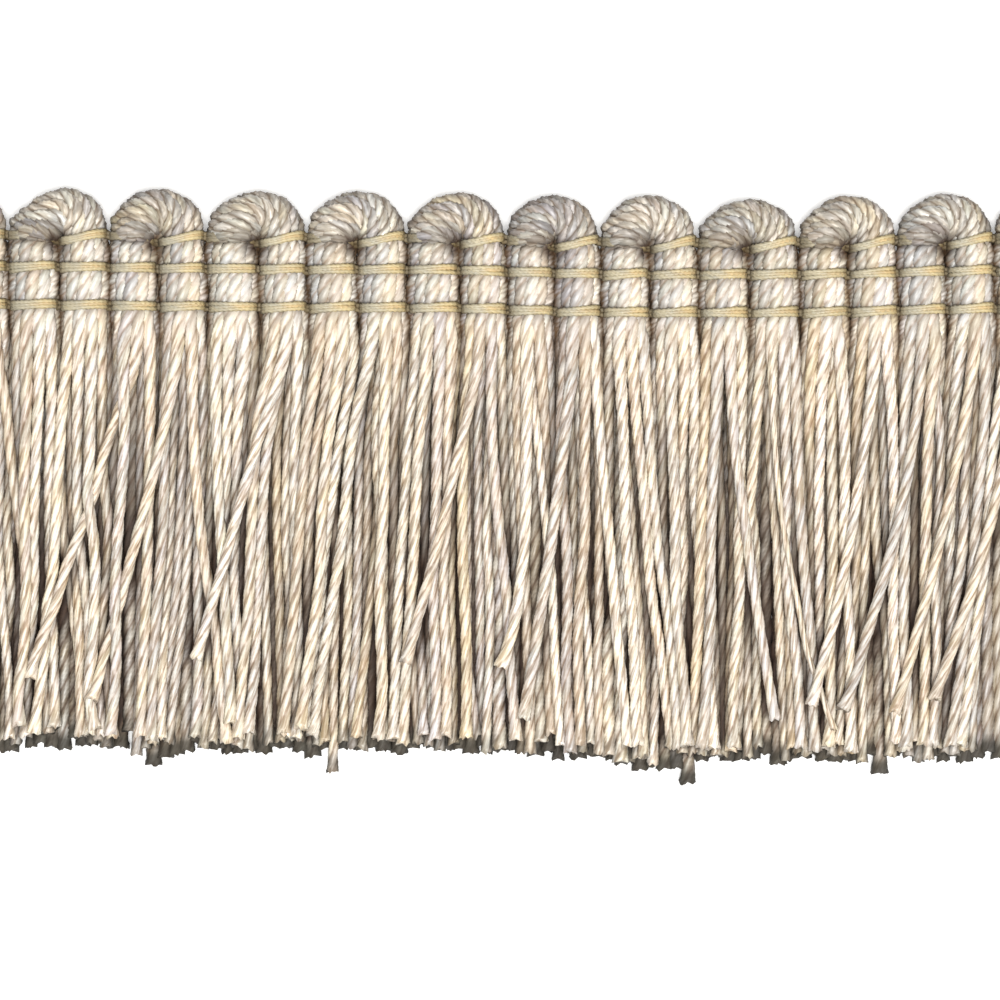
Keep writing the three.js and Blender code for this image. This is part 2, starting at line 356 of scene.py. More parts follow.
class Strands:
    """Collects the closed tubes of one piece: points, faces, colours and fibre coordinates."""

    def __init__(self):
        self.points = []
        self.quads = []
        self.triangles = []
        self.tints = []
        self.fibres = []
        self.count = 0

    def add(self, rings, tints, fibres, end_tints):
        """A closed tube through rings of points. A tint is a colour and how streaky it is.
        end_tints colour the middles of the tube's two ends."""
        steps, sides, _ = rings.shape
        index = self.count + np.arange(steps * sides).reshape(steps, sides)
        turned = np.roll(index, -1, axis=1)
        quads = np.stack([index[:-1], turned[:-1], turned[1:], index[1:]], axis=-1)
        self.quads.append(quads.reshape(-1, 4))
        self.points.append(rings.reshape(-1, 3))
        self.tints.append(tints.reshape(-1, 4))
        self.fibres.append(fibres.reshape(-1, 3))
        self.count += steps * sides
        for at, flip, tint in ((0, True, end_tints[0]), (-1, False, end_tints[1])):
            centre = self.count
            self.points.append(rings[at].mean(axis=0)[None])
            self.tints.append(tint[None])
            self.fibres.append(fibres[at].mean(axis=0)[None])
            self.count += 1
            row = index[at]
            following = np.roll(row, -1)
            pair = (following, row) if flip else (row, following)
            self.triangles.append(np.stack([*pair, np.full(sides, centre)], axis=-1))

    def mesh(self, name):
        """One Blender mesh of all the tubes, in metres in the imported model's frame."""
        points = np.concatenate(self.points)
        points[:, 0] += heading_shift(points[:, 0], points[:, 1])
        points[:, 1] -= along("drop", points[:, 0])
        points[:, 2] = np.maximum(points[:, 2], FLOOR_CLEARANCE)
        points = (points + ORIGIN) * MM
        quads = np.concatenate(self.quads)
        triangles = np.concatenate(self.triangles)
        corners = np.concatenate([quads.ravel(), triangles.ravel()]).astype(np.int32)
        starts = np.concatenate([
            np.arange(len(quads)) * 4,
            len(quads) * 4 + np.arange(len(triangles)) * 3,
        ]).astype(np.int32)
        mesh = bpy.data.meshes.new(name)
        mesh.vertices.add(len(points))
        mesh.vertices.foreach_set("co", points.astype(np.float32).ravel())
        mesh.loops.add(len(corners))
        mesh.loops.foreach_set("vertex_index", corners)
        mesh.polygons.add(len(starts))
        mesh.polygons.foreach_set("loop_start", starts)
        mesh.update(calc_edges=True)
        mesh.shade_smooth()
        tints = np.concatenate(self.tints)
        streaks = tints[:, 3].copy()
        tints[:, 3] = 1
        fibres = np.concatenate(self.fibres)
        for attribute, kind, field, values in (
            ("tint", "FLOAT_COLOR", "color", tints),
            ("streak", "FLOAT", "value", streaks),
            ("fibre", "FLOAT_VECTOR", "vector", fibres),
        ):
            data = mesh.attributes.new(attribute, kind, "POINT").data
            data.foreach_set(field, values.astype(np.float32).ravel())
        return mesh


class Relief:
    """The height of the trim's front over the surface, on a grid, to tell what lies deep. Each
    yarn counts as round, and the soft grid is blurred over this many cells to each side."""

    CELL = 0.15
    LOW = np.array([-60.0, -48.0])
    CELLS = (800, 420)
    BLUR = 5
    RADIUS = 0.57

    def __init__(self, points):
        self.height = np.zeros(self.CELLS)
        at = np.round((points[:, :2] - self.LOW) / self.CELL).astype(int)
        reach = int(self.RADIUS / self.CELL) + 1
        for i in range(-reach, reach + 1):
            for j in range(-reach, reach + 1):
                inside = self.RADIUS**2 - (i**2 + j**2) * self.CELL**2
                if inside > 0:
                    np.maximum.at(
                        self.height,
                        (at[:, 0] + i, at[:, 1] + j),
                        points[:, 2] + math.sqrt(inside),
                    )
        self.soft = self.blurred(self.height)

    def blurred(self, height):
        """The height averaged over a small neighbourhood, three times over."""
        width = 2 * self.BLUR + 1
        for _ in range(3):
            for axis in (0, 1):
                padded = np.insert(np.cumsum(height, axis=axis), 0, 0, axis=axis)
                size = height.shape[axis]
                high = np.minimum(np.arange(size) + self.BLUR + 1, size)
                low = np.maximum(np.arange(size) - self.BLUR, 0)
                height = (np.take(padded, high, axis) - np.take(padded, low, axis)) / width
        return height

    def read(self, grid, points):
        """The height that a grid holds at each of the points."""
        at = np.round((points[..., :2] - self.LOW) / self.CELL).astype(int)
        at = np.clip(at, 0, np.array(self.CELLS) - 1)
        return grid[at[..., 0], at[..., 1]]

    def shade(self, points):
        """How much painted shade a point gets, from 0 on the front to 1 deep down."""
        depth = self.read(self.soft, points) - points[..., 2]
        return smooth(-0.05, 1.1, depth)

    def seen(self, points):
        """2 where a yarn's centre line shows from the front, 1 where it nearly does, or 0."""
        depth = np.full(len(points), 9.0)
        for aside in (-0.4, 0.0, 0.4):
            moved = points + np.array([aside, 0, 0])
            depth = np.minimum(depth, self.read(self.height, moved) - points[:, 2])
        return np.where(depth < self.RADIUS + 0.15, 2, np.where(depth < 1.5, 1, 0))


def evenly(points, step):
    """Points a step apart along straight lines through the given ones."""
    length = lengths(points)
    at = steps_along(length[-1], step)
    return np.stack([np.interp(at, length, points[:, axis]) for axis in range(3)], axis=1)


def resample(points, step):
    """A smooth curve through the points, with rings a step apart. Returns points and lengths."""
    points = np.asarray(points, float)
    padded = np.concatenate([2 * points[:1] - points[1:2], points, 2 * points[-1:] - points[-2:-1]])
    length = lengths(points)
    at = steps_along(length[-1], step)
    span = np.clip(np.searchsorted(length, at, side="right") - 1, 0, len(points) - 2)
    t = ((at - length[span]) / (length[span + 1] - length[span]))[:, None]
    p0, p1, p2, p3 = (padded[span + k] for k in range(4))
    curve = 0.5 * (
        2 * p1
        + (p2 - p0) * t
        + (2 * p0 - 5 * p1 + 4 * p2 - p3) * t**2
        + (3 * p1 - p0 - 3 * p2 + p3) * t**3
    )
    return curve, at


def side_vectors(curve):
    """Two directions across the curve at each point, carried along it without twist."""
    tangent = np.gradient(curve, axis=0)
    tangent /= np.linalg.norm(tangent, axis=1)[:, None]
    first = np.empty_like(curve)
    vector = UP if abs(tangent[0] @ UP) < 0.9 else np.array([1.0, 0.0, 0.0])
    for i, direction in enumerate(tangent):
        vector = vector - direction * (vector @ direction)
        vector = vector / math.sqrt(vector @ vector)
        first[i] = vector
    return first, np.cross(tangent, first), tangent


def pick_colours():
    """Dyed colours for the plies of a yarn, which are nearly alike."""
    weights = np.array([weight for weight, _ in YARN_COLOURS], float)
    chosen = rng.choice(len(YARN_COLOURS), p=weights / weights.sum())
    colour = linear(YARN_COLOURS[chosen][1]) * rng.uniform(0.9, 1.06)
    return colour * rng.uniform(0.93, 1.04, (PLIES, 1)) * rng.uniform(0.98, 1.02, (PLIES, 3))


class Spots:
    """The points of a yarn's rings, with where each of them lies in the loop: from -1 to 1
    across its leg, how far in the crown or in the bound part of the legs, from 0 to 1, and its
    distance from the notch, squared."""

    def __init__(self, rings, loop):
        self.rings = rings
        self.loop = loop
        self.x, self.y, self.z = rings[..., 0:1], rings[..., 1:2], rings[..., 2:3]
        self.right = self.x > loop["middle"]
        leg = np.where(self.right, loop["legs"][1], loop["legs"][0])
        self.across = (self.x - leg) / loop["half"]
        self.crowned = smooth(SPRING - 2, SPRING, self.y)
        self.bound = smooth(-4, 0, self.y) * (1 - self.crowned)
        self.notch = (self.x - loop["middle"]) ** 2 + (self.y - NOTCH_Y) ** 2


def painted_heading_shade(spots):
    """Painted shade, as if lit from the right: the heading is greyer than the brush, and its legs
    and crowns are greyer at the left.
    """
    left = smooth(0.6, -0.9, spots.across) * smooth(SPRING + 0.8, SPRING - 0.5, spots.y)
    from_left_foot = spots.across + spots.right
    crown = (0.35 + 0.45 * smooth(0.5, -1.5, from_left_foot)) * smooth(5, 8, spots.y)
    grey = smooth(-2.5, 0.5, spots.y) * np.maximum(left, crown)
    return 1 - grey * (1 - np.array(PAINTED_HEADING_SHADE))


def crown_strokes(spots):
    """The crown's short strokes: each pair of rings is lighter or darker, point by point."""
    count, sides = spots.rings.shape[:2]
    strokes = rng.uniform(*STROKES, (count // 2 + 1, sides))
    strokes = np.repeat(strokes, 2, axis=0)[:count, :, None]
    return 1 - strokes * smooth(SPRING - 1.5, SPRING, spots.y)


def with_painted_groove_shade(tints, spots, grooves):
    """The tints with painted shade in the grooves between the plies, which is fainter where a leg
    is lit from the right and darker in the crown and near the notch.
    """
    lit = smooth(-0.3, 0.7, spots.across) * spots.bound
    grooves = grooves * (0.74 + 0.1 * spots.crowned - 0.16 * spots.bound - 0.24 * lit)
    colour = linear(PAINTED_GROOVE_SHADE) * (1 - 0.5 * spots.crowned * np.exp(-spots.notch / 9))
    colour = colour * (1 - spots.crowned * (1 - np.array(PAINTED_CROWN_GROOVE_SHADE)))
    return blend(tints, colour, grooves)


def notch_shade(spots):
    """How much painted shade falls in the notch under the crown and on the yarns that fan out of
    it, and how much painted shadow of the crown falls on the lip of the left leg, from 0 to 1."""
    notch = np.minimum(1, 1.25 * np.exp(-spots.notch / 1.3))
    fan = (spots.x - spots.loop["middle"] + 0.8) ** 2 / 2.6
    fan = fan + (spots.y - NOTCH_Y - 0.8) ** 2 / 1.2
    lip = np.exp(-(((spots.y - LIP_Y) / 0.3) ** 2)) * ~spots.right * smooth(2.0, 2.8, spots.z)
    return np.maximum.reduce([notch, 0.72 * np.exp(-fan), 0.55 * lip])


def depth_shade(spots, relief):
    """How much painted shade a point gets for lying deep, from 0 to 1: between other yarns, low
    down, in the grip of a binding row, at the crown's outer rim or in the notch."""
    deep = relief.shade(spots.rings)[..., None]
    deep *= 0.5 + 0.5 * np.maximum(smooth(-5, -24, spots.y), 0.7 * spots.crowned)
    low = smooth(2.4, 1.0, spots.z - 0.5 * spots.crowned)
    low = low * (0.5 + 0.3 * smooth(-3, 0, spots.y))
    drawn = 0.5 * pinch(spots.x, spots.y) * (1 - spots.crowned)
    outside = smooth(2.1, 1.7, relief.read(relief.soft, spots.rings)[..., None])
    rim = 0.55 * spots.crowned * outside
    return np.maximum.reduce([deep, low, drawn, rim, notch_shade(spots)])


def end_shade(spots, from_end, aside):
    """How much painted shade the cut ends of the lower yarns get, from 0 to 1. from_end is how far
    each ring lies from the cut, and aside how far each point lies to the side, in radii of the
    yarn."""
    cut = smooth(2.0, 0.7, from_end)[:, None, None]
    return cut * smooth(2.6, 1.6, spots.z) * (0.9 + 0.08 * smooth(0.4, 0.95, aside))


def gap_shade(spots):
    """How much painted shade the narrow gaps between neighbouring legs get, from 0 to 1. The trim's
    two outer sides have none."""
    aside = np.maximum(smooth(-0.9, -1.0, spots.across), smooth(0.94, 1.02, spots.across))
    inner = np.abs(spots.x) < MIDDLES[-1] + loops[-1]["half"]
    deep = smooth(3.5, 2.6, spots.z)
    return aside * inner * deep * smooth(-6, -1.5, spots.y) * smooth(7.5, 6, spots.y)


def runs(levels):
    """Stretches of one level, as first ring, last ring and level. Neighbours share a ring."""
    edges = [0, *(np.flatnonzero(np.diff(levels)) + 1), len(levels) - 1]
    return [(a, b, levels[a]) for a, b in zip(edges[:-1], edges[1:]) if b > a]


def widened(levels, rings):
    """Levels that reach a number of rings further wherever they are higher."""
    padded = np.pad(levels, rings, mode="edge")
    return np.max([padded[k : k + len(levels)] for k in range(2 * rings + 1)], axis=0)


def yarn_radius(y, end):
    """The radius of a yarn on its way from the heading to a given radius at its cut end."""
    return HEADING_RADIUS + (end - HEADING_RADIUS) * smooth(*RADIUS_CHANGE, y)


def rings_round(curve, first, second, around, reach):
    """Rings of points round a curve, at given angles and this far from it."""
    return curve[:, None] + (
        (reach * np.cos(around))[..., None] * first[:, None]
        + (reach * np.sin(around))[..., None] * second[:, None]
    )


def fibre_places(angles, turn, length, seed):
    """Coordinates along the fibres: two that change round the yarn, and the length along it."""
    straight = angles + 0.5 * turn[:, None]
    fibres = np.empty((*straight.shape, 3))
    fibres[..., 0] = np.cos(straight) + seed
    fibres[..., 1] = np.sin(straight)
    fibres[..., 2] = length[:, None]
    return fibres


def yarn_tints(spots, colours, grooves, from_end, aside, relief):
    """The tints of a yarn's rings with painted shade, and how much painted shade they get for lying
    deep and how much for lying at a cut end."""
    plies = np.repeat(colours, spots.rings.shape[1] // PLIES, axis=0)
    tints = plies * crown_strokes(spots) * painted_heading_shade(spots)
    tints = with_painted_groove_shade(tints, spots, grooves)
    shade = depth_shade(spots, relief)
    below = end_shade(spots, from_end, aside)
    # Painted shade for lying deep, at the lower cut ends and in the gaps between legs
    tints = blend(tints, linear(PAINTED_DEPTH_SHADE), shade)
    tints = blend(tints, linear(PAINTED_END_SHADE), below)
    tints = blend(tints, linear(PAINTED_GAP_SHADE), gap_shade(spots))
    streaky = 1 - 0.3 * spots.crowned - 0.5 * spots.bound
    return np.concatenate([tints, streaky], axis=-1), shade, below


def add_yarn(strands, path, widths, least, relief, loop):
    """A yarn along its whole path, with both of its ends cut. widths and least are the radius
    and the lowest level of detail at each point of the path."""
    curve, length = resample(path, RING_STEP)
    first, second, tangent = side_vectors(curve)
    lay = LAY + (CROWN_LAY - LAY) * smooth(-4, SPRING - 2, curve[:, 1])
    turn = np.cumsum(np.gradient(length) / lay) * TAU / rng.uniform(0.9, 1.15)
    turn += rng.uniform(0, TAU)
    colours = pick_colours()
    seed = rng.uniform(-50, 50)
    from_end = np.minimum(length, length[-1] - length)
    opened = np.clip(1 - from_end / OPENING, 0, 1) ** 2
    wavering = 1 + 0.03 * np.sin(length * 1.7 + seed)
    radius = np.interp(length, lengths(path), widths) * (1 + OPENING_SWELL * opened) * wavering
    lowest = np.interp(length, lengths(path), least).round().astype(int)
    levels = widened(np.maximum(relief.seen(curve), lowest), DETAIL_MARGIN)
    # A run's first or last ring is a cut one where it lies at that end of the curve
    cuts = ((0, 0), (-1, len(curve) - 1))
    for start, stop, level in runs(levels):
        kept = np.arange(start, stop + 1)
        if level == 0:
            kept = np.union1d(kept[::HIDDEN_SKIP], kept[-1:])
        angles, reaches, grooves = SECTIONS[level]
        flattened = 0.6 * opened[kept, None]
        reach = radius[kept, None] * (reaches + (1 - reaches) * flattened)
        around = turn[kept, None] + angles
        rings = rings_round(curve[kept], first[kept], second[kept], around, reach)
        cut_rings = [ring for ring, at in cuts if kept[ring] == at]
        for ring in cut_rings:
            ragged = rng.uniform(-RAGGED, RAGGED, len(angles))
            rings[ring] += ragged[:, None] * tangent[kept[ring]]
        aside = np.abs(rings[..., 0:1] - curve[kept, None, 0:1]) / radius[kept, None, None]
        grooves = (grooves * (1 - flattened))[..., None]
        tints, shade, below = yarn_tints(
            Spots(rings, loop), colours, grooves, from_end[kept], aside, relief
        )
        ends = [tints[ring].mean(axis=0) for ring in (0, -1)]
        # The cut faces get painted shade as dark as their ring's
        for ring in cut_rings:
            dark = max(shade[ring].mean(), below[ring].mean())
            ends[ring][:3] = linear(CUT_COLOUR) * (1 - 0.8 * dark)
        fibres = fibre_places(angles, turn[kept], length[kept], seed)
        strands.add(rings, tints, fibres, ends)


def squareness(angle, power):
    """How far out the edge of a rounded square lies at an angle. At 2 it is a circle, and it is
    squarer the higher the power."""
    return (abs(math.cos(angle)) ** power + abs(math.sin(angle)) ** power) ** (-1 / power)


def section_places():
    """Where the yarns lie in the bundle's section, from -1 to 1 across and in depth."""
    places = []
    for count, reach, start in ((OUTER_YARNS, 1.0, 0.5), (INNER_YARNS, 0.33, 0.2)):
        for i in range(count):
            angle = TAU * (i + start) / count
            out = squareness(angle, SECTION_POWER)
            places.append((reach * out * math.cos(angle), reach * out * math.sin(angle)))
    return np.array(places)


SECTION = section_places()


def bundle_path(loop):
    """The bundle's centre line from the foot of the left leg over the crown to the foot of the
    right leg, with how far round the crown it has turned."""
    left, right = loop["legs"]
    climb = np.arange(-LEG_END, SPRING, CLIMB_STEP)
    turn = np.linspace(0, math.pi, CROWN_STEPS)
    rise = loop["crest"] - SPRING - loop["half"]
    lean = loop["shift"] * np.sin(turn) ** 2 / 2
    shoulder = np.exp(-(((turn - 0.85) / 0.5) ** 2))
    crown_x = (left + right) / 2 - np.cos(turn) * loop["width"] / 4 + lean
    crown_y = SPRING + rise * np.sin(turn) - loop["sink"] * shoulder
    x = np.concatenate([np.full(climb.shape, left), crown_x, np.full(climb.shape, right)])
    y = np.concatenate([climb, crown_y, climb[::-1]])
    foot = smooth(5.0, 6.4, y) * smooth(9.8, 7.5, y)
    x += ((left + right) / 2 - x) * FOOT_NARROWING * foot
    out = np.concatenate([np.zeros(climb.shape), turn, np.full(climb.shape, math.pi)])
    return x, y, out


def pinch(x, y):
    """How strongly a binding row draws the bundle in at a place, from 0 to 1."""
    grip = np.zeros(np.shape(y))
    for name in ROW_HEIGHTS:
        grip = np.maximum(grip, np.exp(-(((y - row_height(name, x)) / GRIP_HEIGHT) ** 2)))
    return grip


def bundle_yarns(loop):
    """The centre lines of a loop's yarns through the heading."""
    x, y, turn = bundle_path(loop)
    share = 1 - turn / math.pi
    twist = -math.pi * (0.25 * share + 0.95 * share**2.2)
    roll = rng.uniform(0, TAU / OUTER_YARNS)
    leaning = LEG_TWIST * np.minimum(y - SPRING, 0) * np.where(share > 0.5, 1, -1)
    angle = twist + roll + leaning
    over_row = y - row_height("binding_top", x)
    lobe = smooth(0.45, 0.8, share) * smooth(0.1, 0.9, over_row)
    crowned = smooth(SPRING - 0.5, SPRING + 0.6, y)
    wide = loop["half"] - HEADING_RADIUS
    lines = []
    for across, depth in SECTION:
        a = across * np.cos(angle) - depth * np.sin(angle)
        b = across * np.sin(angle) + depth * np.cos(angle)
        line_x = x - a * wide * np.cos(turn)
        line_y = y + a * wide * np.sin(turn)
        grip = pinch(line_x, line_y) * (1 - crowned)
        line_x += a * GRIP_NARROWS * grip * smooth(-0.5, 0.1, b) * np.cos(turn)
        line_x -= a * BACK_SPREAD * smooth(0.55, -0.05, b) * np.cos(turn)
        line_z = MIDDLE + b * (MIDDLE - HEADING_RADIUS - GRIP_FLATTENS * grip)
        front = np.clip(b + 0.3, 0, 1)
        line_z += LOBE_RISE * lobe * front
        line_y -= LOBE_HANG * lobe * front
        lines.append(evenly(np.stack([line_x, line_y, line_z], axis=1), LINE_STEP))
    return lines


def stray_members(tufts, heights):
    """The yarns that become strays, each with its stray. It is the front yarn of its tuft."""
    chosen = {}
    for row in STRAYS:
        stray = dict(zip(STRAY_COLUMNS, row))
        members = [m for m in np.flatnonzero(tufts == stray["tuft"] - 1) if m not in chosen]
        chosen[max(members, key=lambda m: heights[m])] = stray
    return chosen


def spread_places(starts, tufts):
    """The layer of each yarn, from 0 in front, and the X at which it lies once the yarns of its
    layer have spread evenly over the tuft's share of the trim."""
    layer = np.empty(len(starts), int)
    even = np.empty(len(starts))
    for tuft in np.unique(tufts):
        members = np.flatnonzero(tufts == tuft)
        members = members[np.argsort(-starts[members, 2])]
        loop = loops[tuft // 2]
        for level, chosen in enumerate(members.reshape(-1, LAYER_YARNS)):
            chosen = chosen[np.argsort(starts[chosen, 0])]
            layer[chosen] = level
            share = (np.arange(LAYER_YARNS) - (LAYER_YARNS - 1) / 2) / LAYER_YARNS
            even[chosen] = loop["legs"][tuft % 2] + share * loop["width"] / 2
    return layer, even


def clump_drifts(even, layers):
    """How far each yarn's cut end drifts aside. Yarns drift in clumps of up to four, which draw
    together and part from the next clump."""
    drift = np.zeros(len(even))
    for layer in range(YARNS // LAYER_YARNS):
        members = np.flatnonzero(layers == layer)
        members = members[np.argsort(even[members])]
        at = 0
        while at < len(members):
            size = rng.choice(list(CLUMP_SIZES), p=list(CLUMP_SIZES.values()))
            clump = members[at : at + size]
            centre = even[clump].mean()
            common = rng.normal(0, CLUMP_DRIFT[layer])
            drift[clump] = common + (centre - even[clump]) * CLUMP_DRAW[layer]
            drift[clump] += rng.normal(0, OWN_DRIFT[layer], len(clump))
            at += size
    wild = rng.random(len(even)) < WILD_SHARE
    return drift + np.where(wild & (layers == 0), rng.normal(0, WILD_DRIFT, len(even)), 0)


def pushed_apart(x, z, radius):
    """Moves yarns that overlap in a slice a little apart, and on to the surface."""
    dx = x[:, None] - x[None]
    dz = z[:, None] - z[None]
    gap = np.sqrt(dx**2 + dz**2) + 1e-9
    reach = (radius[:, None] + radius[None]) * TOUCHING
    push = np.clip(reach - gap, 0, None) * PUSH
    np.fill_diagonal(push, 0)
    x = x + (push * dx / gap).sum(axis=1) * PUSH_ASIDE
    z = z + (push * dz / gap).sum(axis=1) * PUSH_UP
    return x, np.maximum(z, radius)


def settle_brush(starts, tufts):
    """Lays all the yarns of the brush down on the surface, one slice after another.
    Returns their places (yarn, slice, x and z), the slices' depths, the strays and the radius
    of each yarn at its cut end."""
    count = len(starts)
    slices = np.arange(0, BRUSH_LENGTH + EXTRA_SLICES * SLICE, SLICE)
    strays = stray_members(tufts, starts[:, 2])
    layers, even = spread_places(starts, tufts)
    drift = clump_drifts(even, layers)
    wave_size = rng.uniform(0.05, 0.35, count)
    wave_count = rng.uniform(0.8, 2.2, count)
    wave_phase = rng.uniform(0, TAU, count)
    x, z = starts[:, 0].copy(), starts[:, 2].copy()
    spread = along("lean", x) * np.array(LEAN_SHARE)[layers]
    fall = np.full(count, GRAVITY)
    fall[layers == 0] = TOP_GRAVITY
    fall[(layers == 0) & (rng.random(count) < SINKING_SHARE)] = SINK_GRAVITY
    fall[list(strays)] = STRAY_GRAVITY
    ends = np.array([OPEN_RADIUS, PRESSED_RADIUS, BOTTOM_RADIUS])[layers]
    for member, stray in strays.items():
        ends[member] = stray["radius"]
    places = np.empty((count, len(slices), 2))
    places[:, 0] = np.stack([x, z], axis=1)
    for k in range(1, len(slices)):
        share = slices[k] / BRUSH_LENGTH
        radius = yarn_radius(-LEG_END - slices[k], ends)
        target = starts[:, 0] + (even - starts[:, 0]) * smooth(0, SPREAD_OVER, slices[k])
        target += (spread + drift) * share**1.3
        target += wave_size * np.sin(TAU * share * wave_count + wave_phase) * min(1, share * 2)
        for member, stray in strays.items():
            swing = (slices[k] / stray["down"]) ** stray["late"]
            target[member] = starts[member, 0] + stray["across"] * swing
        x += PULL * (target - x)
        z -= fall
        for _ in range(SETTLE_ROUNDS):
            x, z = pushed_apart(x, z, radius)
        places[:, k] = np.stack([x, z], axis=1)
    for _ in range(2):
        places[:, 1:-1] = (places[:, :-2] + 2 * places[:, 1:-1] + places[:, 2:]) / 4
    return places, slices, strays, ends


def brush_line(places, slices, member, strays):
    """The centre line of a yarn in the brush, from its leg to its cut end."""
    points = np.stack([places[member, :, 0], -LEG_END - slices, places[member, :, 1]], axis=1)
    height = places[member, -1 - EXTRA_SLICES, 1]
    length = BRUSH_LENGTH - LEG_END + CUT_ALLOWANCE + rng.normal(0, UNEVEN_CUT)
    length -= CUT_SLOPE * height
    if rng.random() < LONG_SHARE:
        length += rng.uniform(*LONG_BY)
    if member in strays:
        length = math.hypot(strays[member]["down"] - LEG_END, strays[member]["across"])
    length -= float(along("trim", points[-1, 0]))
    along_line = lengths(points)
    kept = along_line < length - 0.4
    tip = [np.interp(length, along_line, points[:, axis]) for axis in range(3)]
    return np.concatenate([points[kept], [tip]])


def yarn_paths():
    """Each yarn's path from cut end to cut end, with its radius and the lowest level of detail
    at each point, loop after loop."""
    headings = [bundle_yarns(loop) for loop in loops]
    starts = np.array([
        line[end] for lines in headings for end in (0, -1) for line in lines
    ])
    tufts = np.repeat(np.arange(2 * len(loops)), YARNS)
    places, slices, strays, ends = settle_brush(starts, tufts)
    paths = []
    for n, lines in enumerate(headings):
        for i, line in enumerate(lines):
            members = [(2 * n + side) * YARNS + i for side in (0, 1)]
            left, right = (brush_line(places, slices, member, strays) for member in members)
            left, right = left[:0:-1], right[1:]
            widths = np.concatenate([
                yarn_radius(left[:, 1], ends[members[0]]),
                np.full(len(line), HEADING_RADIUS),
                yarn_radius(right[:, 1], ends[members[1]]),
            ])
            least = np.zeros(len(widths))
            least[len(left) : len(left) + len(line)] = 1 if i < OUTER_YARNS else 0
            paths.append((np.concatenate([left, line, right]), widths, least))
    return paths


def build_loops():
    """Every loop's yarns, as one piece for each loop."""
    paths = yarn_paths()
    relief = Relief(np.concatenate([resample(path, RING_STEP)[0] for path, _, _ in paths]))
    for n, loop in enumerate(loops):
        strands = Strands()
        for path, widths, least in paths[n * YARNS : (n + 1) * YARNS]:
            add_yarn(strands, path, widths, least, relief, loop)
        name = f"yarns_{n + 1:02d}"
        add_piece(name, strands, f"loop_{n + 1:02d}", YARN_MATERIAL)


def add_piece(name, strands, node, material):
    """Makes a piece of the collected strands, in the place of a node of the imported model."""
    piece = bpy.data.objects.new(name, strands.mesh(name))
    bpy.context.scene.collection.objects.link(piece)
    piece.data.materials.append(material)
    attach(piece, "root")
    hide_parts(node)


def thread_line(name, front, offset):
    """A binding thread along the whole trim, with how far across its leg each point lies.
    offset gives its shift up the row at the left and right of each leg. The threads of the top
    row draw together between the legs of a loop, and on the left leg slip under the crown."""
    points, shares = [], []
    for loop in loops:
        half_x = loop["half"] - THREAD_INSET[0]
        half_z = MIDDLE - THREAD_INSET[1]
        for leg in loop["legs"]:
            wobble = rng.normal(0, THREAD_WOBBLE)
            for angle in np.radians(np.linspace(*THREAD_ARC)):
                out = squareness(angle, THREAD_POWER)
                share = (math.cos(angle) + 1) / 2
                x = leg + half_x * out * math.cos(angle)
                z = MIDDLE + half_z * out * math.sin(angle) * (1 if front else -1)
                apart = np.interp(share, [0, 1], offset) + wobble * (2 * share - 1)
                if name == "binding_top":
                    from_middle = math.pi * (x - loop["middle"]) / loop["width"]
                    apart *= 1.1 - 0.4 * math.cos(from_middle)
                    if front and leg == loop["legs"][0]:
                        under = float(smooth(0.2, 0.5, share) * smooth(1.0, 0.85, share))
                        apart += 0.4 * under
                        z -= 0.5 * under
                points.append((x, float(row_height(name, x)) + apart, z))
                shares.append(share)
    return np.array(points), np.array(shares)


def thread_tints(rings, share, grooves, number):
    """A thread's tints: pale on the left of each leg and ochre on its right, with painted shade in
    its grooves, where it dips between legs, beside the foot of a crown and in the notch."""
    x, y, z = rings[..., 0:1], rings[..., 1:2], rings[..., 2:3]
    accent = THREAD_ORANGE if number == ACCENT_THREAD else THREAD_OCHRE
    tints = blend(linear(THREAD_PALE), linear(accent), smooth(0.3, 0.75, share)[:, None])
    tints = np.repeat(tints[:, None], len(grooves), axis=1)
    tints = blend(tints, linear(PAINTED_GROOVE_SHADE), 0.15 * grooves[:, None])
    # Painted shade where the thread dips low, and painted shadow in the notch and beside a crown's
    # foot
    dark = 0.92 * smooth(3.75, 2.3, z)
    for loop in loops:
        notch = (x - loop["middle"]) ** 2 + (y - NOTCH_Y) ** 2
        dark = np.maximum(dark, np.minimum(1, 1.2 * np.exp(-notch / 0.4)))
        foot = np.exp(-((x - loop["left"] - 0.7) ** 2) / 0.7)
        dark = np.maximum(dark, 0.5 * foot * (y > NOTCH_Y - 0.5))
    tints = blend(tints, linear(PAINTED_THREAD_SHADE), dark)
    streaky = np.full((*tints.shape[:2], 1), THREAD_STREAK)
    return np.concatenate([tints, streaky], axis=-1)


def add_thread(strands, points, shares, number):
    """A fine twisted thread along its points. shares says how far across its leg each lies."""
    curve, length = resample(points, THREAD_STEP)
    share = np.interp(length, lengths(points), shares)
    first, second, _ = side_vectors(curve)
    angles, reaches, grooves = SECTIONS[1]
    around = (TAU * length / THREAD_LAY)[:, None] + angles
    reach = THREAD_RADIUS * (reaches * 0.5 + 0.5)
    rings = rings_round(curve, first, second, around, reach)
    tints = thread_tints(rings, share, grooves, number)
    fibres = fibre_places(angles, np.zeros(len(length)), length, number)
    strands.add(rings, tints, fibres, [tints[0].mean(axis=0), tints[-1].mean(axis=0)])


def build_bindings():
    """Each binding row, with its threads over the front and over the back."""
    for name in ROW_HEIGHTS:
        strands = Strands()
        for number, (front, offset) in enumerate(THREADS):
            add_thread(strands, *thread_line(name, front, offset), number)
        add_piece(name.replace("binding", "threads"), strands, name, THREAD_MATERIAL)


